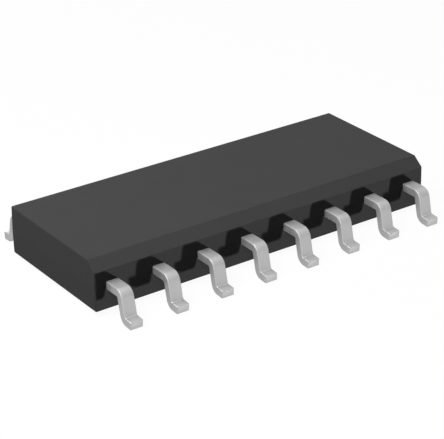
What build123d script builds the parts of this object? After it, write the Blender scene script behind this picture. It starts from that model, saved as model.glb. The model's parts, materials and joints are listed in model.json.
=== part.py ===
from build123d import *
import os
from math import cos, radians, tan

# A narrow small-outline package with gull-wing leads along both long sides, in millimetres.
# X runs along the body, Y across it and Z up. The first lead is at the left of the front row, at -Y.
# The origin is under the middle of the body, on the plane that the feet stand on.

# Moulded body, whose two halves meet at the middle of the lead strip
LOWER_HALF_HEIGHT = 0.625
UPPER_HALF_HEIGHT = 0.625
BODY_WIDTH = 3.82
END_MARGIN = 0.475
STANDOFF = 0.12
DRAFT_ANGLE = 1.0
CORNER_RADIUS = 0.05
BEVEL_WIDTH = 0.30
BEVEL_DROP = 0.24
EDGE_RADIUS = 0.03
EJECTOR_MARK_DIAMETER = 0.90
EJECTOR_MARK_DEPTH = 0.03
EJECTOR_MARK_SPACING = 5.60

# Strip that the leads, the die pad and its tie bars are stamped from
STRIP_THICKNESS = 0.20

# Leads outside the body, formed as gull wings
LEADS_PER_SIDE = 8
PITCH = 1.27
LEAD_WIDTH = 0.34
SHOULDER_REACH = 0.53
LEG_LEAN = 13.0
FOOT_LENGTH = 0.309
FOOT_ANGLE = 4.0
INSIDE_BEND_RADIUS = 0.05
ROLLED_EDGE = 0.02
ROLLED_EDGE_INSET = 0.02

# Leads inside the body, as flat fingers with a wide anchor that the plastic holds
FINGER_WIDTH = 0.34
KNEE_DEPTH = 0.42
ANCHOR_WIDTH = 0.58
ANCHOR_LENGTH = 0.16
ANCHOR_DEPTH = 0.22
FINGERS_BESIDE_TIE_BAR = 2
FINGER_GAP = 0.20
END_FINGER_SPACING = 0.50
SIDE_FINGER_SPACING = 0.95

# Die pad, pressed down below the fingers, and the tie bars that carry it
PAD_LENGTH = 3.30
PAD_WIDTH = 2.00
PAD_DOWNSET = 0.25
TIE_BAR_WIDTH = 0.30
TIE_BAR_FLAT = 1.00
TIE_BAR_STEP = 0.30
TIE_BAR_COVER = 0.08

# Die, the adhesive under it and the wires from its face to the fingers
DIE_LENGTH = 1.70
DIE_WIDTH = 1.40
DIE_THICKNESS = 0.28
ADHESIVE_THICKNESS = 0.03
ADHESIVE_MARGIN = 0.06
WIRE_DIAMETER = 0.025
WIRE_FLATS = 8
BALL_DIAMETER = 0.075
BALL_HEIGHT = 0.02
LOOP_HEIGHT = 0.16
LOOP_FALL = 0.05
LAST_SPAN = 0.16
BOND_INSET_ON_DIE = 0.09
BOND_INSET_ON_FINGER = 0.12
SIDE_BOND_SPACING = 0.40
END_BOND_SPACING = 0.30

# Places that follow from the sizes above
WALL = BODY_WIDTH / 2
BODY_LENGTH = (LEADS_PER_SIDE - 1) * PITCH + 2 * END_MARGIN
STRIP_HEIGHT = STANDOFF + LOWER_HALF_HEIGHT
BODY_TOP = STRIP_HEIGHT + UPPER_HALF_HEIGHT
FINGER_TOP = STRIP_HEIGHT + STRIP_THICKNESS / 2
PAD_HEIGHT = STRIP_HEIGHT - PAD_DOWNSET
PAD_TOP = PAD_HEIGHT + STRIP_THICKNESS / 2
DIE_BOTTOM = PAD_TOP + ADHESIVE_THICKNESS
DIE_TOP = DIE_BOTTOM + DIE_THICKNESS


def lead_x(index):
    """Place along the body of one lead of a row, counted from 0 at the left."""
    return (index - (LEADS_PER_SIDE - 1) / 2) * PITCH


def steps_from_end(index):
    """How many leads lie between this one and the nearer end of its row."""
    return min(index, LEADS_PER_SIDE - 1 - index)


def faces_pad_end(index):
    """Whether a lead's finger runs to the end of the die pad, and not to its long side."""
    return steps_from_end(index) < FINGERS_BESIDE_TIE_BAR


def finger_points(index):
    """Centre line of a front lead's finger, from just inside the wall to its tip beside the die pad."""
    x = lead_x(index)
    start = (x, -WALL + ROLLED_EDGE_INSET)
    knee_y = -WALL + KNEE_DEPTH
    if not faces_pad_end(index):
        tip = (x / PITCH * SIDE_FINGER_SPACING, -PAD_WIDTH / 2 - FINGER_GAP)
        return [start, (x, knee_y), tip]
    side = 1 if x > 0 else -1
    nearest_y = -(TIE_BAR_WIDTH + FINGER_GAP + FINGER_WIDTH) / 2
    tip_y = nearest_y - steps_from_end(index) * END_FINGER_SPACING
    tip_x = PAD_LENGTH / 2 + FINGER_GAP
    turn_x = max(abs(x) - (tip_y - knee_y), tip_x + FINGER_WIDTH)
    return [start, (x, knee_y), (side * turn_x, tip_y), (side * tip_x, tip_y)]


def flat_finger(index):
    """Inner part of a front lead, flat in the plane of the strip."""
    outline = trace(Polyline(*finger_points(index)), FINGER_WIDTH)
    outline += Pos(lead_x(index), -WALL + ANCHOR_DEPTH) * Rectangle(ANCHOR_WIDTH, ANCHOR_LENGTH)
    return extrude(Plane.XY.offset(FINGER_TOP) * outline, -STRIP_THICKNESS)


def strip_section():
    """Section of a stamped lead, whose two upper edges were drawn over as it was punched."""
    section = Rectangle(LEAD_WIDTH, STRIP_THICKNESS)
    upper_corners = section.vertices().group_by(Axis.Y)[-1]
    return chamfer(upper_corners, ROLLED_EDGE)


def gull_wing(index):
    """Outer part of a front lead: one section of strip along a line bent at the shoulder and the ankle."""
    x = lead_x(index)
    shoulder_y = -WALL - SHOULDER_REACH
    tip_z = STRIP_THICKNESS / 2 * cos(radians(FOOT_ANGLE))
    ankle_z = tip_z + FOOT_LENGTH * tan(radians(FOOT_ANGLE))
    ankle_y = shoulder_y - (STRIP_HEIGHT - ankle_z) * tan(radians(LEG_LEAN))
    root = (x, -WALL + ROLLED_EDGE_INSET, STRIP_HEIGHT)
    centre_line = FilletPolyline(
        root,
        (x, shoulder_y, STRIP_HEIGHT),
        (x, ankle_y, ankle_z),
        (x, ankle_y - FOOT_LENGTH, tip_z),
        radius=INSIDE_BEND_RADIUS + STRIP_THICKNESS / 2,
    )
    across = Plane(origin=root, x_dir=(1, 0, 0), z_dir=(0, -1, 0))
    return sweep(across * strip_section(), path=centre_line)


def front_lead(index):
    """Whole front lead, outer gull wing and inner finger in one piece."""
    return gull_wing(index) + flat_finger(index)


def half_turn(piece):
    """The same piece on the other side of the body, turned about the middle."""
    return Rot(0, 0, 180) * piece


def both_rows(front_pieces):
    """A front row and the same row turned half round behind it, in the order that leads are counted."""
    return front_pieces + [half_turn(piece) for piece in front_pieces]


def die_pad():
    """Pad under the die with a tie bar from each end, which steps up to the plane of the fingers."""
    plate = Pos(0, 0, PAD_HEIGHT) * Box(PAD_LENGTH, PAD_WIDTH, STRIP_THICKNESS)
    step_start = PAD_LENGTH / 2 + TIE_BAR_FLAT
    upper_side = [
        (0, PAD_TOP),
        (step_start, PAD_TOP),
        (step_start + TIE_BAR_STEP, FINGER_TOP),
        (BODY_LENGTH / 2 - TIE_BAR_COVER, FINGER_TOP),
    ]
    underside = [(x, z - STRIP_THICKNESS) for x, z in reversed(upper_side)]
    profile = Plane.XZ * make_face(Polyline(*upper_side, *underside, close=True))
    tie_bar = extrude(profile, TIE_BAR_WIDTH / 2, both=True)
    return plate + tie_bar + half_turn(tie_bar)


def die_adhesive():
    """Thin bed of adhesive, a little larger than the die that is pressed into it."""
    length = DIE_LENGTH + 2 * ADHESIVE_MARGIN
    width = DIE_WIDTH + 2 * ADHESIVE_MARGIN
    return Pos(0, 0, PAD_TOP + ADHESIVE_THICKNESS / 2) * Box(length, width, ADHESIVE_THICKNESS)


def silicon_die():
    """Sawn silicon chip, a plain slab."""
    return Pos(0, 0, DIE_BOTTOM + DIE_THICKNESS / 2) * Box(DIE_LENGTH, DIE_WIDTH, DIE_THICKNESS)


def bond_on_die(index):
    """Place on the die's face where the wire of a front lead starts."""
    x = lead_x(index)
    if not faces_pad_end(index):
        return Vector(x / PITCH * SIDE_BOND_SPACING, BOND_INSET_ON_DIE - DIE_WIDTH / 2, DIE_TOP)
    side = 1 if x > 0 else -1
    y = -END_BOND_SPACING * (steps_from_end(index) + 0.5)
    return Vector(side * (DIE_LENGTH / 2 - BOND_INSET_ON_DIE), y, DIE_TOP)


def bond_on_finger(index):
    """Place on top of a front lead's finger where its wire lands, short of the tip."""
    before, tip = finger_points(index)[-2:]
    back = (Vector(*before) - Vector(*tip)).normalized() * BOND_INSET_ON_FINGER
    return Vector(tip[0], tip[1], FINGER_TOP) + back


def bond_wire(index):
    """Wire of a front lead: a ball on the die, a rise, a long span and a steep end cut level with the finger."""
    start = bond_on_die(index)
    landing = bond_on_finger(index)
    along = Vector(landing.X - start.X, landing.Y - start.Y, 0)
    ahead = along.normalized()
    peak = start + Vector(0, 0, LOOP_HEIGHT)
    bend = peak + along - ahead * LAST_SPAN - Vector(0, 0, LOOP_FALL)
    past_landing = landing + (landing - bend).normalized() * WIRE_DIAMETER
    on_die = Plane(origin=start, x_dir=ahead, z_dir=(0, 0, 1))
    section = on_die * RegularPolygon(WIRE_DIAMETER / 2, WIRE_FLATS)
    wire = sweep(section, path=Polyline(start, peak, bend, past_landing), transition=Transition.RIGHT)
    below_landing = Pos(landing.X, landing.Y, FINGER_TOP - LAST_SPAN / 2) * Box(
        LAST_SPAN, LAST_SPAN, LAST_SPAN
    )
    ball = extrude(on_die * RegularPolygon(BALL_DIAMETER / 2, WIRE_FLATS), BALL_HEIGHT)
    return wire - below_landing + ball


def body_half(height, up):
    """One half of the moulded block, from the parting plane to its flat face, narrowed by the draft."""
    outline = Plane.XY.offset(STRIP_HEIGHT) * RectangleRounded(BODY_LENGTH, BODY_WIDTH, CORNER_RADIUS)
    return extrude(outline, height, dir=(0, 0, up), taper=DRAFT_ANGLE)


def front_bevel():
    """Wedge that is left off the top front edge along the whole body, on the side of the first lead."""
    corner = (-WALL, BODY_TOP)
    wedge = make_face(
        Polyline((-WALL, BODY_TOP - BEVEL_DROP), (-WALL + BEVEL_WIDTH, BODY_TOP), corner, close=True)
    )
    return extrude(Plane.YZ * wedge, BODY_LENGTH, both=True)


def body_block():
    """Plain moulded block with its bevel, its edges slightly rounded except along the parting line."""
    block = body_half(LOWER_HALF_HEIGHT, -1) + body_half(UPPER_HALF_HEIGHT, 1) - front_bevel()
    level_edges = block.edges().filter_by(Plane.XY)
    outer_edges = level_edges.filter_by(lambda edge: abs(edge.center().Z - STRIP_HEIGHT) > EDGE_RADIUS)
    return fillet(outer_edges, EDGE_RADIUS)


def moulded_body(inside):
    """Block of plastic with two ejector marks under it, moulded round the pieces inside it."""
    body = body_block()
    for side in (-1, 1):
        place = Pos(side * EJECTOR_MARK_SPACING / 2, 0, STANDOFF)
        body -= place * Cylinder(EJECTOR_MARK_DIAMETER / 2, 2 * EJECTOR_MARK_DEPTH)
    for piece in inside:
        body -= piece
    return body


leads = both_rows([front_lead(index) for index in range(LEADS_PER_SIDE)])
wires = both_rows([bond_wire(index) for index in range(LEADS_PER_SIDE)])
pieces = {f"lead_{number:02d}": lead for number, lead in enumerate(leads, 1)}
pieces |= {f"bond_wire_{number:02d}": wire for number, wire in enumerate(wires, 1)}
pieces["die_pad"] = die_pad()
pieces["die_adhesive"] = die_adhesive()
pieces["silicon_die"] = silicon_die()
pieces["moulded_body"] = moulded_body(list(pieces.values()))

os.makedirs("parts", exist_ok=True)
for name, piece in pieces.items():
    export_step(piece, f"parts/{name}.step")

print(f"Body {BODY_LENGTH:.2f} x {BODY_WIDTH:.2f} mm, its top {BODY_TOP:.2f} mm up")
print(f"Span over the feet {-2 * leads[0].bounding_box().min.Y:.3f} mm")
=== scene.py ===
"""Render scene of a sixteen-lead small-outline package on a pale ground.

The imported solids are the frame. The scene gives each solid its finish and puts a finer surface in
place of each lead. Sizes in the classes are millimetres, and every mesh is written in metres.
"""

import json
import logging
import math
from dataclasses import dataclass, field
from enum import Enum

import bpy
import numpy as np
from mathutils import Matrix, Vector

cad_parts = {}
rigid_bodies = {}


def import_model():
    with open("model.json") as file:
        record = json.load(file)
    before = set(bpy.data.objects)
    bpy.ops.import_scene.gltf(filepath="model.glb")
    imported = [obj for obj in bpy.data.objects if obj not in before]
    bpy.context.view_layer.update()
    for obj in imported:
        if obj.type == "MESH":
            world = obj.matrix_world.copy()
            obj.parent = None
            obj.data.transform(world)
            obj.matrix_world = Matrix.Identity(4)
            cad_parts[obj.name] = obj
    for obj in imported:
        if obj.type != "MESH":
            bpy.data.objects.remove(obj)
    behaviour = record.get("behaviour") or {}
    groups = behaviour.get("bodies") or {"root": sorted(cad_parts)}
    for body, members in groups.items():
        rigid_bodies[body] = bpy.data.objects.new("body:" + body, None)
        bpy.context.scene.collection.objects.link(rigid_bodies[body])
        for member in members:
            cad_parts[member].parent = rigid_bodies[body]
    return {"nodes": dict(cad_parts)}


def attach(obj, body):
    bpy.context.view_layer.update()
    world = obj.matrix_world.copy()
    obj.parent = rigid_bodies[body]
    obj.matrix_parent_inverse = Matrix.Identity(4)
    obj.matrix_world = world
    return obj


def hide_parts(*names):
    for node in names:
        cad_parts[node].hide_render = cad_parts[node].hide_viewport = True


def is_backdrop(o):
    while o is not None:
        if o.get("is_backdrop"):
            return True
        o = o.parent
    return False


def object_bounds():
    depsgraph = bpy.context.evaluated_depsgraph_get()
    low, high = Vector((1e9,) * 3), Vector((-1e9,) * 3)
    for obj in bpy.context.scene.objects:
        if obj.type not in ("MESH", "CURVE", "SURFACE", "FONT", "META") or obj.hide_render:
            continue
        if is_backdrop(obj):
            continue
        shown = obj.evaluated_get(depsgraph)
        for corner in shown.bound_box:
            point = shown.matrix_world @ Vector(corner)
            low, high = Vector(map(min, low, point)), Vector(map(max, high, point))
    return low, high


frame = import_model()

MM = 0.001
ROOT = "root"
SHARP_ANGLE = 40.0  # Degrees between two faces past which their edge stays sharp.

Colour = tuple[float, float, float]
Opaque = tuple[float, float, float, float]
Socket = bpy.types.NodeSocket
Source = Socket | float | tuple[float, ...]

logging.basicConfig(level=logging.INFO, format="%(message)s")
log = logging.getLogger("package")


class Slot(Enum):
    """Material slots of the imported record."""

    COMPOUND = "moulding_compound"
    LEAD = "tinned_lead"
    COPPER = "bare_copper"
    ADHESIVE = "silver_adhesive"
    SILICON = "silicon"
    GOLD = "gold_wire"


def grey(level: float) -> Colour:
    """Neutral linear colour."""
    return (level, level, level)


def rgba(colour: Colour) -> Opaque:
    """Opaque form of a linear colour."""
    return (*colour, 1.0)


class NodeKit:
    """Short calls that add and join shader nodes in one node tree."""

    # Sockets of a Mix node that mixes colours.
    MIX_SHARE, MIX_FIRST, MIX_SECOND, MIX_RESULT = 0, 6, 7, 2

    def __init__(self, tree: bpy.types.NodeTree) -> None:
        """Keeps the node tree of a material, a world or a group."""
        self.tree = tree

    def add(self, kind: str, **settings: object) -> bpy.types.Node:
        """Adds a node.

        Args:
            kind: Blender's name of the node type, without its "ShaderNode" start.
            settings: Properties to set on the node.

        Returns:
            The new node.
        """
        node = self.tree.nodes.new("ShaderNode" + kind)
        for name, value in settings.items():
            setattr(node, name, value)
        return node

    def feed(self, target: Socket, source: Source) -> None:
        """Links a socket to a source, or sets it where the source is a plain value.

        Args:
            target: Input socket.
            source: Output socket, number or tuple.
        """
        if isinstance(source, Socket):
            self.tree.links.new(source, target)
        else:
            target.default_value = source

    def maths(self, operation: str, first: Source, second: Source = 0.0) -> Socket:
        """Adds a Math node.

        Args:
            operation: Name of the operation.
            first: First number or socket.
            second: Second number or socket.

        Returns:
            The node's result.
        """
        node = self.add("Math", operation=operation)
        self.feed(node.inputs[0], first)
        self.feed(node.inputs[1], second)
        return node.outputs[0]

    def noise(self, vector: Socket, scale: Source, detail: float) -> Socket:
        """Adds a noise texture.

        Args:
            vector: Place that the noise is read at.
            scale: Patches in one unit of that place, as a number or socket.
            detail: How many finer layers are added.

        Returns:
            The noise, from 0 to 1.
        """
        node = self.add("TexNoise")
        self.feed(node.inputs["Vector"], vector)
        self.feed(node.inputs["Scale"], scale)
        self.feed(node.inputs["Detail"], detail)
        return node.outputs[0]

    def remap(
        self, value: Source, source: tuple[float, float], low: float, high: float
    ) -> Socket:
        """Maps a value from one range to another, clamped.

        Args:
            value: Number or socket to map.
            source: Range that the value comes from.
            low: Result at the start of that range.
            high: Result at its end.

        Returns:
            The mapped value.
        """
        node = self.add("MapRange")
        self.feed(node.inputs["Value"], value)
        self.feed(node.inputs["From Min"], source[0])
        self.feed(node.inputs["From Max"], source[1])
        self.feed(node.inputs["To Min"], low)
        self.feed(node.inputs["To Max"], high)
        return node.outputs["Result"]

    def mix(self, share: Source, first: Source, second: Source) -> Socket:
        """Mixes two colours.

        Args:
            share: Share of the second colour.
            first: First colour or socket.
            second: Second colour or socket.

        Returns:
            The mixed colour.
        """
        node = self.add("Mix", data_type="RGBA")
        self.feed(node.inputs[self.MIX_SHARE], share)
        self.feed(node.inputs[self.MIX_FIRST], first)
        self.feed(node.inputs[self.MIX_SECOND], second)
        return node.outputs[self.MIX_RESULT]


class GrainGroup:
    """Shader group that every finish uses: slow tone patches and a fine grain over the surface."""

    NAME = "fine_grain"
    PATCH_DETAIL = 2.0
    GRAIN_DETAIL = 4.0
    NOISE_RANGE = (0.3, 0.7)  # Part of the noise that is stretched to the whole swing.
    INPUTS = (
        ("Colour", "NodeSocketColor"),
        ("Patch Scale", "NodeSocketFloat"),
        ("Patch Depth", "NodeSocketFloat"),
        ("Grain Scale", "NodeSocketFloat"),
        ("Grain Depth", "NodeSocketFloat"),
        ("Roughness", "NodeSocketFloat"),
        ("Roughness Spread", "NodeSocketFloat"),
    )
    OUTPUTS = (
        ("Colour", "NodeSocketColor"),
        ("Roughness", "NodeSocketFloat"),
        ("Height", "NodeSocketFloat"),
    )

    @classmethod
    def tree(cls) -> bpy.types.NodeTree:
        """The group's node tree, made at the first call."""
        return bpy.data.node_groups.get(cls.NAME) or cls._build()

    @classmethod
    def _build(cls) -> bpy.types.NodeTree:
        """Makes the group.

        The tone is colour x (1 + patch x patch depth + grain x grain depth), and the roughness is
        roughness + patch x spread, where both noises swing from -1 to 1. The height is the grain
        alone.

        Returns:
            The new node tree.
        """
        tree = bpy.data.node_groups.new(cls.NAME, "ShaderNodeTree")
        for name, kind in cls.INPUTS:
            tree.interface.new_socket(name, in_out="INPUT", socket_type=kind)
        for name, kind in cls.OUTPUTS:
            tree.interface.new_socket(name, in_out="OUTPUT", socket_type=kind)
        kit = NodeKit(tree)
        given = tree.nodes.new("NodeGroupInput").outputs
        out = tree.nodes.new("NodeGroupOutput").inputs
        place = kit.add("TexCoord").outputs["Object"]
        patch = kit.noise(place, given["Patch Scale"], cls.PATCH_DETAIL)
        grain = kit.noise(place, given["Grain Scale"], cls.GRAIN_DETAIL)
        patch_swing = kit.remap(patch, cls.NOISE_RANGE, -1.0, 1.0)
        grain_swing = kit.remap(grain, cls.NOISE_RANGE, -1.0, 1.0)
        patch_tone = kit.maths("MULTIPLY", patch_swing, given["Patch Depth"])
        grain_tone = kit.maths("MULTIPLY", grain_swing, given["Grain Depth"])
        tone = kit.maths("ADD", kit.maths("ADD", patch_tone, grain_tone), 1.0)
        scaled = kit.add("VectorMath", operation="SCALE")
        kit.feed(scaled.inputs[0], given["Colour"])
        kit.feed(scaled.inputs["Scale"], tone)
        rough = kit.maths("MULTIPLY", patch_swing, given["Roughness Spread"])
        kit.feed(out["Colour"], scaled.outputs[0])
        kit.feed(out["Roughness"], kit.maths("ADD", rough, given["Roughness"]))
        kit.feed(out["Height"], grain)
        return tree


@dataclass(frozen=True)
class Finish:
    """A surface finish: one Principled shader fed by the grain group.

    Attributes:
        name: Material name.
        slot: The record's slot that it stands for.
        colour: Linear base colour.
        metallic: 1 for metal, 0 for plastic.
        roughness: Middle of the roughness.
        roughness_spread: How far the patches move the roughness.
        patch_size: Size of the slow tone patches.
        patch_depth: How much they change the tone.
        grain_size: Size of the fine grain.
        grain_depth: How much it changes the tone.
        bump_height: Height of the fine grain.
        specular: Level of the shader's reflection on plastic.
    """

    name: str
    slot: Slot
    colour: Colour
    metallic: float
    roughness: float
    roughness_spread: float = 0.04
    patch_size: float = 0.9
    patch_depth: float = 0.03
    grain_size: float = 0.03
    grain_depth: float = 0.04
    bump_height: float = 0.001
    specular: float = 0.5

    def material(self) -> bpy.types.Material:
        """The material, made at the first call."""
        return bpy.data.materials.get(self.name) or self._build()

    def _build(self) -> bpy.types.Material:
        """Makes the material.

        Returns:
            The new material.
        """
        made = bpy.data.materials.new(self.name)
        made.use_nodes = True
        kit = NodeKit(made.node_tree)
        shader = made.node_tree.nodes["Principled BSDF"]
        grain = self.grain(kit, self.base_colour(kit))
        self.finish_shader(kit, shader, grain)
        return made

    def base_colour(self, kit: NodeKit) -> Source:
        """Colour before the grain is laid over it, here the same all over."""
        return rgba(self.colour)

    def grain(self, kit: NodeKit, colour: Source) -> bpy.types.Node:
        """Places the grain group with this finish's own values.

        Args:
            kit: Calls for the material's tree.
            colour: Colour or socket that the grain is laid over.

        Returns:
            The group node.
        """
        node = kit.add("Group", node_tree=GrainGroup.tree())
        kit.feed(node.inputs["Colour"], colour)
        node.inputs["Patch Scale"].default_value = 1 / (self.patch_size * MM)
        node.inputs["Patch Depth"].default_value = self.patch_depth
        node.inputs["Grain Scale"].default_value = 1 / (self.grain_size * MM)
        node.inputs["Grain Depth"].default_value = self.grain_depth
        node.inputs["Roughness"].default_value = self.roughness
        node.inputs["Roughness Spread"].default_value = self.roughness_spread
        return node

    def height(self, kit: NodeKit, grain: bpy.types.Node) -> Socket:
        """Height that the bump reads, here the grain alone."""
        return grain.outputs["Height"]

    def finish_shader(self, kit: NodeKit, shader: bpy.types.Node, grain: bpy.types.Node) -> None:
        """Feeds the shader from the grain group and sets what is the same all over.

        Args:
            kit: Calls for the material's tree.
            shader: The Principled shader.
            grain: The grain group's node.
        """
        bump = kit.add("Bump")
        bump.inputs["Distance"].default_value = self.bump_height * MM
        kit.feed(bump.inputs["Height"], self.height(kit, grain))
        kit.feed(shader.inputs["Base Color"], grain.outputs["Colour"])
        kit.feed(shader.inputs["Roughness"], grain.outputs["Roughness"])
        kit.feed(shader.inputs["Normal"], bump.outputs["Normal"])
        shader.inputs["Metallic"].default_value = self.metallic
        shader.inputs["Specular IOR Level"].default_value = self.specular

    def dress(self, piece: bpy.types.Object) -> None:
        """Gives a piece this finish alone.

        Args:
            piece: CAD node or new piece.
        """
        piece.data.materials.clear()
        piece.data.materials.append(self.material())
        log.info("%s: %s, slot %s", piece.name, self.name, self.slot.value)


@dataclass(frozen=True)
class PlatedLeadFinish(Finish):
    """Matt tin outside the body, bare copper inside it and silver where the wires land.

    Attributes:
        wall: Distance of the body's long walls from the middle.
        spot_half_length: Half the length of the silvered field round the die pad.
        spot_half_width: Half its width.
        edge_width: Width of the soft edge between two platings.
        copper: Colour of the unplated strip inside the body.
        silver: Colour of the silvered tips.
        line_size: Width of the fine lines that forming left along the strip.
        line_squeeze: Their scale along the strip, as a share of the scale across it.
        line_detail: How many finer layers they have.
        line_depth: How much of the bump height they have.
        spill: Share of the lead's tone that lights matt faces near it.
    """

    wall: float = 1.91
    spot_half_length: float = 2.30
    spot_half_width: float = 1.42
    edge_width: float = 0.02
    copper: Colour = (0.60, 0.27, 0.15)
    silver: Colour = (0.70, 0.69, 0.66)
    line_size: float = 0.022
    line_squeeze: float = 0.02
    line_detail: float = 2.0
    line_depth: float = 0.6
    spill: float = 0.1

    def inside(self, kit: NodeKit, distance: Socket, limit: float) -> Socket:
        """Mask that is 1 nearer the middle than a limit in millimetres, with a soft edge."""
        size = kit.maths("ABSOLUTE", distance)
        return kit.remap(size, ((limit - self.edge_width) * MM, limit * MM), 1.0, 0.0)

    def base_colour(self, kit: NodeKit) -> Socket:
        """Tin, copper or silver by the place on the lead.

        A matt face nearby gathers only the spill share of that tone, so that the body keeps the
        dark contact shadows under the leads.

        Args:
            kit: Calls for the material's tree.

        Returns:
            The colour's output socket.
        """
        split = kit.add("SeparateXYZ")
        kit.feed(split.inputs[0], kit.add("TexCoord").outputs["Object"])
        covered = self.inside(kit, split.outputs["Y"], self.wall)
        along = self.inside(kit, split.outputs["X"], self.spot_half_length)
        across = self.inside(kit, split.outputs["Y"], self.spot_half_width)
        strip = kit.mix(covered, rgba(self.colour), rgba(self.copper))
        surface = kit.mix(kit.maths("MULTIPLY", along, across), strip, rgba(self.silver))
        # Painted shade: to diffuse rays the lead's tone is dimmed to the spill share, which deepens
        # the shade on matt faces near it.
        diffuse = kit.add("LightPath").outputs["Is Diffuse Ray"]
        gathered = kit.maths("MULTIPLY", diffuse, 1 - self.spill)
        return kit.mix(gathered, surface, rgba(grey(0.0)))

    def height(self, kit: NodeKit, grain: bpy.types.Node) -> Socket:
        """Grain with fine lines along the strip, read from the lead's own UV map.

        Args:
            kit: Calls for the material's tree.
            grain: The grain group's node.

        Returns:
            The height's output socket.
        """
        stretch = kit.add("Mapping")
        kit.feed(stretch.inputs["Vector"], kit.add("TexCoord").outputs["UV"])
        scale = (1 / self.line_size, self.line_squeeze / self.line_size, 1.0)
        stretch.inputs["Scale"].default_value = scale
        lines = kit.noise(stretch.outputs["Vector"], 1.0, self.line_detail)
        share = kit.maths("MULTIPLY", lines, self.line_depth)
        return kit.maths("ADD", grain.outputs["Height"], share)


COMPOUND = Finish(
    "black_moulding_compound", Slot.COMPOUND, grey(0.0596), 0.0, 0.62,
    roughness_spread=0.03, patch_size=1.4, patch_depth=0.035, grain_size=0.035,
    grain_depth=0.05, bump_height=0.0012, specular=0.02,
)
PLATED_LEAD = PlatedLeadFinish(
    "matt_tin_plating", Slot.LEAD, grey(0.370), 1.0, 0.62,
    patch_size=0.25, grain_size=0.02, grain_depth=0.03, bump_height=0.0008,
)
COPPER = Finish("bare_copper", Slot.COPPER, (0.62, 0.29, 0.17), 1.0, 0.34, patch_size=0.5)
ADHESIVE = Finish(
    "silver_filled_adhesive", Slot.ADHESIVE, (0.46, 0.45, 0.43), 0.6, 0.55,
    patch_size=0.15, grain_size=0.015, grain_depth=0.12, bump_height=0.003,
)
SILICON = Finish(
    "silicon", Slot.SILICON, (0.13, 0.13, 0.16), 0.7, 0.22,
    roughness_spread=0.05, patch_size=0.4, patch_depth=0.10, grain_depth=0.06,
)
GOLD = Finish(
    "drawn_gold", Slot.GOLD, (0.83, 0.60, 0.22), 1.0, 0.24,
    patch_size=0.2, grain_size=0.01,
)


@dataclass(frozen=True)
class StripSection:
    """Section of the stamped strip: a rectangle with rounded edges.

    Attributes:
        width: Width of the strip.
        thickness: Its thickness.
        outer_radius: Radius of the two edges on the outer side of the bends.
        inner_radius: Radius of the two edges on the other side.
        steps: Faces round each edge.
    """

    width: float = 0.34
    thickness: float = 0.20
    outer_radius: float = 0.030
    inner_radius: float = 0.015
    steps: int = 5

    def outline(self) -> tuple[np.ndarray, np.ndarray, np.ndarray]:
        """Points round the section, as four quarter turns in a row.

        The angle a runs from -90 to 270 degrees. Each point is its corner's centre plus
        radius x (cos a, sin a), and (cos a, sin a) is also the outward direction there.

        Returns:
            The side of each point (-1 or 1), its (inset from that side, height) and its
            outward direction.
        """
        corners = (
            (1, -1, self.inner_radius),
            (1, 1, self.outer_radius),
            (-1, 1, self.outer_radius),
            (-1, -1, self.inner_radius),
        )
        quarter = np.linspace(0, math.pi / 2, self.steps + 1)
        sides, spots, outward = [], [], []
        for number, (across, up, radius) in enumerate(corners):
            turn = np.radians(-90 + 90 * number) + quarter
            way = np.stack([np.cos(turn), np.sin(turn)], axis=1)
            centre = np.array([-across * radius, up * (self.thickness / 2 - radius)])
            sides.append(np.full(self.steps + 1, float(across)))
            spots.append(centre + radius * way)
            outward.append(way)
        return np.concatenate(sides), np.concatenate(spots), np.concatenate(outward)


@dataclass
class Line:
    """Stations along a strip's centre line.

    Attributes:
        centre: Place of each station, n by 3.
        across: Direction of the strip's width at each station, longer than 1 at a mitred turn.
        up: Direction out of the strip's outer side.
        width: Width of the strip at each station.
        inset: How far the section is drawn in, for the rounded tip.
    """

    centre: np.ndarray
    across: np.ndarray
    up: np.ndarray
    width: np.ndarray
    inset: np.ndarray


def arc_turn(
    before: np.ndarray, corner: np.ndarray, after: np.ndarray, radius: float, steps: int
) -> tuple[np.ndarray, np.ndarray]:
    """Rounds one corner of a flat line.

    The arc starts radius x tan(turn / 2) before the corner. After the angle a it stands at
    start + radius x (sin a along the first run, 1 - cos a across it).

    Args:
        before: Point before the corner.
        corner: The corner.
        after: Point after it.
        radius: Radius of the arc.
        steps: Faces along the arc.

    Returns:
        The points and the heading angle at each.
    """
    first = (corner - before) / np.linalg.norm(corner - before)
    second = (after - corner) / np.linalg.norm(after - corner)
    turn = math.atan2(first[0] * second[1] - first[1] * second[0], float(first @ second))
    side = math.copysign(1, turn)
    heading = math.atan2(first[1], first[0])
    start = corner - first * radius * math.tan(abs(turn) / 2)
    swept = np.linspace(0, abs(turn), steps + 1)
    sideways = np.array([-first[1], first[0]]) * side
    onward = np.sin(swept)[:, None] * first + (1 - np.cos(swept))[:, None] * sideways
    return start + radius * onward, heading + swept * side


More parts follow.
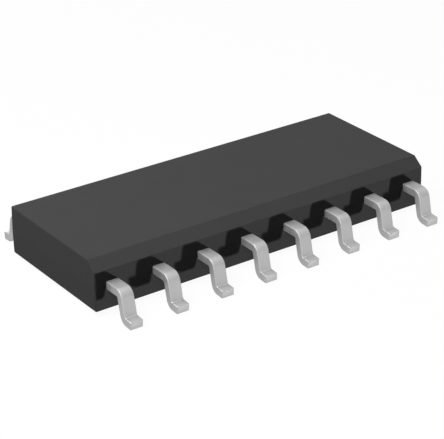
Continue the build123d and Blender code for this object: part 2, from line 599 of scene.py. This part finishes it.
@dataclass(frozen=True)
class Lead:
    """One front lead: a gull wing outside the body and a flat finger inside it, one closed surface.

    Attributes:
        index: Place in the row, counted from 0 at the left.
        section: Section of the strip.
        row: Leads in the row.
        pitch: Distance from lead to lead.
        wall: Distance of the body's long walls from the middle.
        strip_height: Height of the strip's middle where it leaves the wall.
        shoulder_reach: Distance from the wall to the shoulder's corner.
        leg_lean: How far the leg leans out from upright, in degrees.
        foot_length: Distance from the ankle's corner to the tip, level.
        foot_angle: Slope of the foot, in degrees.
        bend_radius: Radius of the strip's middle in both bends.
        bend_steps: Faces along each bend.
        end_round: Length and depth of the rounding at the tip.
        end_reaches: Stations of that rounding along the foot, as shares of end_round.
        end_insets: How far the section is drawn in at each of them, as shares of end_round.
        knee_depth: Distance from the wall to the knee, where the finger turns.
        anchor_width: Width of the anchor that holds the lead in the body.
        anchor_length: Its length.
        anchor_depth: Distance from the wall to its middle.
        end_fingers: Leads at each end of the row whose fingers turn in beside the pad's end.
        finger_gap: Gap between a finger's tip and the pad. Beside a tie bar it is half as wide.
        end_spacing: Distance between the fingers beside the pad's end.
        side_spacing: Distance between the tips of those along the pad's side.
        pad_length: Length of the die pad.
        pad_width: Its width.
        tie_bar_width: Width of its tie bars.
    """

    index: int
    section: StripSection = field(default_factory=StripSection)
    row: int = 8
    pitch: float = 1.27
    wall: float = 1.91
    strip_height: float = 0.745
    shoulder_reach: float = 0.53
    leg_lean: float = 13.0
    foot_length: float = 0.309
    foot_angle: float = 4.0
    bend_radius: float = 0.150
    bend_steps: int = 10
    end_round: float = 0.014
    end_reaches: tuple[float, ...] = (0.0, 0.3, 1.0)
    end_insets: tuple[float, ...] = (1.0, 0.29, 0.0)
    knee_depth: float = 0.42
    anchor_width: float = 0.58
    anchor_length: float = 0.16
    anchor_depth: float = 0.22
    end_fingers: int = 2
    finger_gap: float = 0.20
    end_spacing: float = 0.50
    side_spacing: float = 0.95
    pad_length: float = 3.30
    pad_width: float = 2.00
    tie_bar_width: float = 0.30

    @property
    def x(self) -> float:
        """Place along the body."""
        return (self.index - (self.row - 1) / 2) * self.pitch

    def wing(self) -> tuple[np.ndarray, np.ndarray]:
        """Centre line of the gull wing from the tip of the foot to the wall, in the (y, z) plane.

        Returns:
            The points and the heading angle at each.
        """
        slope, lean = math.radians(self.foot_angle), math.radians(self.leg_lean)
        tip_z = self.section.thickness / 2 * math.cos(slope)
        ankle_z = tip_z + self.foot_length * math.tan(slope)
        shoulder_y = -self.wall - self.shoulder_reach
        ankle_y = shoulder_y - (self.strip_height - ankle_z) * math.tan(lean)
        tip = np.array([ankle_y - self.foot_length, tip_z])
        ankle = np.array([ankle_y, ankle_z])
        shoulder = np.array([shoulder_y, self.strip_height])
        root = np.array([-self.wall, self.strip_height])
        bend = (self.bend_radius, self.bend_steps)
        low_arc, low_heading = arc_turn(tip, ankle, shoulder, *bend)
        high_arc, high_heading = arc_turn(ankle, shoulder, root, *bend)
        along_foot = np.array([math.cos(slope), math.sin(slope)])
        reaches = self.end_round * np.array(self.end_reaches)
        rounding = tip + reaches[:, None] * along_foot
        points = np.concatenate([rounding, low_arc, high_arc, root[None]])
        level = np.full(len(reaches), slope)
        headings = np.concatenate([level, low_heading, high_heading, [0.0]])
        return points, headings

    def finger(self) -> np.ndarray:
        """Corners of the finger's centre line from the knee to its tip, in the (x, y) plane.

        A finger at the row's end slants in by 45 degrees, or as far as there is room, and then
        runs along the body to the pad's end. Every other one runs straight to the pad's side.

        Returns:
            The corners.
        """
        knee = (self.x, -self.wall + self.knee_depth)
        from_end = min(self.index, self.row - 1 - self.index)
        if from_end >= self.end_fingers:
            tip = (
                self.x / self.pitch * self.side_spacing,
                -self.pad_width / 2 - self.finger_gap,
            )
            return np.array([knee, tip])
        side = math.copysign(1, self.x)
        nearest = -(self.tie_bar_width + self.finger_gap + self.section.width) / 2
        tip_y = nearest - from_end * self.end_spacing
        tip_x = self.pad_length / 2 + self.finger_gap
        turn_x = max(abs(self.x) - (tip_y - knee[1]), tip_x + self.section.width)
        return np.array([knee, (side * turn_x, tip_y), (side * tip_x, tip_y)])

    def line(self) -> Line:
        """All stations of the lead: the wing, the anchor, the knee and the finger.

        At a turn of the finger the width points along the line that halves the turn, and is
        1 / cos(half the turn) long, so that the strip keeps its width.

        Returns:
            The stations.
        """
        points, headings = self.wing()
        wing_count = len(points)
        wing_centre = np.column_stack([np.full(wing_count, self.x), points])
        wing_up = np.column_stack([np.zeros(wing_count), -np.sin(headings), np.cos(headings)])
        start = -self.wall + self.anchor_depth - self.anchor_length / 2
        end = start + self.anchor_length
        anchor_y = np.array([start, start, end, end])
        count = len(anchor_y)
        height = np.full(count, self.strip_height)
        anchor = np.column_stack([np.full(count, self.x), anchor_y, height])
        corners = self.finger()
        runs = np.diff(np.concatenate([[(self.x, end)], corners]), axis=0)
        runs /= np.linalg.norm(runs, axis=1)[:, None]
        after = np.concatenate([runs[1:], runs[-1:]])
        middle = runs + after
        middle /= np.linalg.norm(middle, axis=1)[:, None]
        stretch = 1 / np.sum(middle * runs, axis=1)
        finger = np.column_stack([corners, np.full(len(corners), self.strip_height)])
        turned = np.column_stack([middle[:, 1], -middle[:, 0], np.zeros(len(corners))])
        straight = np.tile([1.0, 0.0, 0.0], (wing_count + count, 1))
        flat = np.tile([0.0, 0.0, 1.0], (count + len(corners), 1))
        centre = np.concatenate([wing_centre, anchor, finger])
        across = np.concatenate([straight, turned * stretch[:, None]])
        up = np.concatenate([wing_up, flat])
        width = np.full(len(centre), self.section.width)
        width[wing_count + 1 : wing_count + count - 1] = self.anchor_width
        inset = np.zeros(len(centre))
        inset[: len(self.end_insets)] = self.end_round * np.array(self.end_insets)
        return Line(centre, across, up, width, inset)

    def build(self, name: str, behind: bool) -> bpy.types.Object:
        """Makes the lead's surface. The back row is the front row turned half round."""
        return add_piece(name, sweep(name, self.line(), self.section, turned=behind))


def run_lengths(steps: np.ndarray) -> np.ndarray:
    """Distance run before each step and after the last one, for steps given as rows."""
    return np.concatenate([[0.0], np.cumsum(np.linalg.norm(steps, axis=1))])


def sweep(name: str, line: Line, section: StripSection, turned: bool) -> bpy.types.Mesh:
    """Carries a section along a line and closes both ends.

    Point (i, j) is centre i + across i x (side j x width i / 2 + spot j) + up i x height j, less
    inset i along the section's outward direction. The grid's faces wind so that they point out.

    Args:
        name: Name of the mesh.
        line: Stations of the centre line.
        section: Section that is carried along it.
        turned: True where the whole surface is turned half round the vertical axis.

    Returns:
        The mesh, with a UV map in millimetres: round the section, then along the line.
    """
    side, spot, outward = section.outline()
    drawn_in = line.inset[:, None, None] * outward
    wide = side * line.width[:, None] / 2 + spot[:, 0] - drawn_in[..., 0]
    high = spot[:, 1] - drawn_in[..., 1]
    sideways = wide[..., None] * line.across[:, None]
    points = line.centre[:, None] + sideways + high[..., None] * line.up[:, None]
    if turned:
        points = points * np.array([-1.0, -1.0, 1.0])
    rings, count = wide.shape
    here = np.arange(rings * count).reshape(rings, count)
    there = np.roll(here, -1, axis=1)
    quads = np.stack([here[:-1], here[1:], there[1:], there[:-1]], axis=-1).reshape(-1, 4)
    faces = quads.tolist() + [here[0].tolist(), here[-1][::-1].tolist()]
    mesh = bpy.data.meshes.new(name)
    mesh.from_pydata((points.reshape(-1, 3) * MM).tolist(), [], faces)
    ring = points[np.argmin(line.inset)]
    u = np.broadcast_to(run_lengths(np.diff(ring, axis=0, append=ring[:1])), (rings, count + 1))
    v = np.broadcast_to(run_lengths(np.diff(line.centre, axis=0))[:, None], (rings, count + 1))
    grid = np.stack([u, v], axis=-1)
    around = np.stack([grid[:-1, :-1], grid[1:, :-1], grid[1:, 1:], grid[:-1, 1:]], axis=2)
    start_cap, end_cap = grid[0, :-1], grid[-1, :-1][::-1]
    layer = mesh.uv_layers.new(name="strip")
    spread = np.concatenate([around.reshape(-1, 2), start_cap, end_cap])
    layer.data.foreach_set("uv", spread.ravel())
    mesh.update()
    return mesh


def add_piece(name: str, mesh: bpy.types.Mesh) -> bpy.types.Object:
    """Puts a mesh into the scene with smooth faces, and sharp edges past the sharp angle.

    Args:
        name: Name of the piece.
        mesh: Its mesh, with its place in its vertices.

    Returns:
        The new object at the origin.
    """
    mesh.shade_smooth()
    mesh.set_sharp_from_angle(angle=math.radians(SHARP_ANGLE))
    piece = bpy.data.objects.new(name, mesh)
    bpy.context.scene.collection.objects.link(piece)
    return piece


@dataclass
class LeadFrame:
    """The sixteen leads and the die pad, which are stamped from one strip.

    Attributes:
        row: Leads on each long side.
    """

    row: int = 8

    def build(self) -> None:
        """Puts a finer lead in place of each lead solid, and dresses the die pad."""
        for number in range(1, 2 * self.row + 1):
            behind = number > self.row
            node = f"lead_{number:02d}"
            piece = Lead((number - 1) % self.row).build(f"gull_wing_{node}", behind)
            PLATED_LEAD.dress(piece)
            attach(piece, ROOT)
            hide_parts(node)
        COPPER.dress(frame["nodes"]["die_pad"])


@dataclass
class MouldedBody:
    """The block of black moulding compound.

    Attributes:
        node: Its CAD node.
    """

    node: str = "moulded_body"

    def build(self) -> None:
        """Gives the block its finish."""
        COMPOUND.dress(frame["nodes"][self.node])


@dataclass
class DieStack:
    """Silicon die, the adhesive under it and the bond wires.

    Attributes:
        wires: Number of bond wires.
    """

    wires: int = 16

    def build(self) -> None:
        """Gives each of the pieces its finish."""
        nodes = frame["nodes"]
        SILICON.dress(nodes["silicon_die"])
        ADHESIVE.dress(nodes["die_adhesive"])
        for number in range(1, self.wires + 1):
            GOLD.dress(nodes[f"bond_wire_{number:02d}"])


class LampKind(Enum):
    """Kinds of lamp in the studio."""

    SOFTBOX = "AREA"
    SUN = "SUN"


class Reach(Enum):
    """What a lamp lights. From a lamp of their own the leads cast no shadow on themselves."""

    EVERYTHING = "everything"
    ALL_BUT_LEADS = "all_but_leads"
    LEADS = "leads"


@dataclass(frozen=True)
class Lamp:
    """One lamp that points at the middle of the body.

    Attributes:
        name: Name of the lamp.
        kind: Softbox or sun.
        towards: Direction from the body to the lamp.
        level: How bright a white face turned straight to the lamp is.
        distance: Distance of a softbox, in millimetres.
        size: Width of a softbox in millimetres, or of a sun in degrees.
        reach: Pieces that it lights.
    """

    name: str
    kind: LampKind
    towards: tuple[float, float, float]
    level: float
    distance: float = 150.0
    size: float = 30.0
    reach: Reach = Reach.EVERYTHING

    def build(self) -> None:
        """Makes the lamp at its level.

        The level takes level x pi from a sun, and level x pi^2 x (distance^2 + radius^2) from a
        round softbox. Every lamp is sampled directly and never met by chance.
        """
        data = bpy.data.lights.new(self.name, self.kind.value)
        distance = self.distance * MM
        if self.kind is LampKind.SUN:
            data.energy = self.level * math.pi
            data.angle = math.radians(self.size)
        else:
            data.shape = "DISK"
            data.size = self.size * MM
            data.energy = self.level * math.pi**2 * (distance**2 + (data.size / 2) ** 2)
        data.cycles.use_multiple_importance_sampling = False
        lamp = bpy.data.objects.new(self.name, data)
        way = Vector(self.towards).normalized()
        lamp.location = way * distance
        lamp.rotation_euler = way.to_track_quat("Z", "Y").to_euler()
        bpy.context.scene.collection.objects.link(lamp)
        self.limit(lamp)
        log.info("lamp %s", self.name)

    def limit(self, lamp: bpy.types.Object) -> None:
        """Keeps the lamp to its pieces by light linking.

        Args:
            lamp: The lamp's object.
        """
        if self.reach is Reach.EVERYTHING:
            return
        tin = PLATED_LEAD.material()
        leads = bpy.data.collections.new(self.name + "_leads")
        others = bpy.data.collections.new(self.name + "_others")
        for thing in bpy.context.scene.objects:
            if thing.type == "MESH":
                side = leads if thing.active_material == tin else others
                side.objects.link(thing)
        if self.reach is Reach.LEADS:
            lamp.light_linking.receiver_collection = leads
            lamp.light_linking.blocker_collection = others
        else:
            lamp.light_linking.receiver_collection = others


LOW_KEY = (0.514, -0.745, -0.425)  # Direction of the key lamp, which shines up at the front wall.
STUDIO_LAMPS = (
    Lamp("low_key", LampKind.SUN, LOW_KEY, 0.62, size=4.0, reach=Reach.ALL_BUT_LEADS),
    Lamp("low_key_on_leads", LampKind.SUN, LOW_KEY, 0.24, size=4.0, reach=Reach.LEADS),
    Lamp("left_on_leads", LampKind.SUN, (-0.80, -0.56, 0.15), 0.26, size=8.0, reach=Reach.LEADS),
    Lamp("top_left_softbox", LampKind.SOFTBOX, (-0.50, -0.03, 0.85), 1.01, 60.0, 45.0),
    Lamp("top_right_fill", LampKind.SOFTBOX, (0.707, 0.0, 0.707), 0.12, 120.0, 100.0),
    Lamp("low_left_fill", LampKind.SOFTBOX, (-0.898, 0.0, -0.439), 0.08, 120.0, 100.0),
    Lamp("back_fill", LampKind.SOFTBOX, (0.25, 0.96, 0.02), 0.35, 120.0, 16.0),
)


@dataclass
class Studio:
    """Lamps, white surroundings and the pale ground.

    Attributes:
        lamps: The lamps.
        ground_half: Half the side of the ground, in millimetres.
        ground_white: Grey of the ground that takes the shadow.
        ground_bounce: Grey of the ground as it lights matt faces.
        shadow_share: Share of the ground's white that its shadow can take away.
    """

    lamps: tuple[Lamp, ...] = STUDIO_LAMPS
    ground_half: float = 400.0
    ground_white: float = 0.95
    ground_bounce: float = 0.07
    shadow_share: float = 0.05

    def build(self) -> None:
        """Makes the lamps, the surroundings and the ground."""
        for lamp in self.lamps:
            lamp.build()
        self.surroundings()
        self.ground()

    def seen_directly(self, kit: NodeKit) -> Socket:
        """Mask of the rays that see a thing, and don't gather its light for a matt face.

        Args:
            kit: Calls for the material's or the world's tree.

        Returns:
            1 for camera, reflected and refracted rays, and 0 for the rest.
        """
        path = kit.add("LightPath").outputs
        glossy = kit.maths("MAXIMUM", path["Is Glossy Ray"], path["Is Transmission Ray"])
        return kit.maths("MAXIMUM", path["Is Camera Ray"], glossy)

    def surroundings(self) -> None:
        """White world for the eye and for reflections. The lamps alone light matt faces."""
        world = bpy.data.worlds.new("surroundings")
        world.use_nodes = True
        bpy.context.scene.world = world
        kit = NodeKit(world.node_tree)
        background = world.node_tree.nodes["Background"]
        kit.feed(background.inputs["Strength"], self.seen_directly(kit))
        background.inputs["Color"].default_value = rgba(grey(1.0))

    def ground(self) -> None:
        """Pale ground that shows white and keeps a light shadow. Lamps below it shine through."""
        ground = bpy.data.objects.new("pale_ground", self.ground_mesh())
        ground.data.materials.append(self.ground_material())
        ground.visible_shadow = False
        bpy.context.scene.collection.objects.link(ground)
        ground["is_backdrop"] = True
        log.info("ground and surroundings")

    def ground_mesh(self) -> bpy.types.Mesh:
        """One square at the height 0, its corners at plus and minus half its side.

        Returns:
            The mesh.
        """
        half = self.ground_half * MM
        places = [(-half, -half, 0), (half, -half, 0), (half, half, 0), (-half, half, 0)]
        mesh = bpy.data.meshes.new("pale_ground")
        mesh.from_pydata(places, [], [(0, 1, 2, 3)])
        return mesh

    def ground_material(self) -> bpy.types.Material:
        """Mostly plain white where it is seen, and a matt grey to the light that faces gather.

        Returns:
            The material.
        """
        made = bpy.data.materials.new("pale_ground")
        made.use_nodes = True
        kit = NodeKit(made.node_tree)
        made.node_tree.nodes.remove(made.node_tree.nodes["Principled BSDF"])
        white = kit.add("Emission")
        lit, bounce = kit.add("BsdfDiffuse"), kit.add("BsdfDiffuse")
        lit.inputs["Color"].default_value = rgba(grey(self.ground_white))
        bounce.inputs["Color"].default_value = rgba(grey(self.ground_bounce))
        shown, either = kit.add("MixShader"), kit.add("MixShader")
        shown.inputs[0].default_value = self.shadow_share
        kit.feed(shown.inputs[1], white.outputs[0])
        kit.feed(shown.inputs[2], lit.outputs[0])
        kit.feed(either.inputs[0], self.seen_directly(kit))
        kit.feed(either.inputs[1], bounce.outputs[0])
        kit.feed(either.inputs[2], shown.outputs[0])
        kit.feed(made.node_tree.nodes["Material Output"].inputs["Surface"], either.outputs[0])
        return made


@dataclass(frozen=True)
class Viewpoint:
    """Camera at the photograph's angle.

    Attributes:
        azimuth: Turn of the line of sight from +Y towards +X, in degrees.
        elevation: How far it looks down, in degrees.
        roll: Turn of the picture, in degrees.
        aim: Point in the middle of the picture.
        distance: From the eye to that point.
        lens: Focal length on the sensor.
        sensor: Width of the sensor.
        clip: Nearest and farthest distance that is drawn, in metres.
    """

    azimuth: float = 35.318
    elevation: float = 26.007
    roll: float = 0.526
    aim: tuple[float, float, float] = (-0.567, -0.786, 0.800)
    distance: float = 43.476
    lens: float = 144.26
    sensor: float = 36.0
    clip: tuple[float, float] = (0.001, 10.0)

    def build(self) -> None:
        """Makes the camera and gives it to the scene."""
        angles = (self.azimuth, self.elevation, self.roll)
        turn, drop, roll = (math.radians(angle) for angle in angles)
        level_run = math.cos(drop)
        sight = Vector((math.sin(turn) * level_run, math.cos(turn) * level_run, -math.sin(drop)))
        level = sight.cross(Vector((0, 0, 1))).normalized()
        upright = level.cross(sight)
        right = level * math.cos(roll) - upright * math.sin(roll)
        up = level * math.sin(roll) + upright * math.cos(roll)
        facing = Matrix((right, up, -sight)).transposed().to_4x4()
        eye = (Vector(self.aim) - sight * self.distance) * MM
        data = bpy.data.cameras.new("photograph")
        data.sensor_width = self.sensor
        data.lens = self.lens
        data.clip_start, data.clip_end = self.clip
        camera = bpy.data.objects.new("photograph", data)
        camera.matrix_world = Matrix.Translation(eye) @ facing
        bpy.context.scene.collection.objects.link(camera)
        bpy.context.scene.camera = camera
        bpy.context.scene.view_settings.view_transform = "Standard"
        log.info("camera")


def corners() -> list[list[float]]:
    """Lowest and highest corner of what is shown, in metres."""
    return [list(corner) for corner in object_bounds()]


def main() -> None:
    """Builds the camera, the package and the studio."""
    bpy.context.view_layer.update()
    Viewpoint().build()
    MouldedBody().build()
    LeadFrame().build()
    DieStack().build()
    Studio().build()


if __name__ == "__main__":
    main()
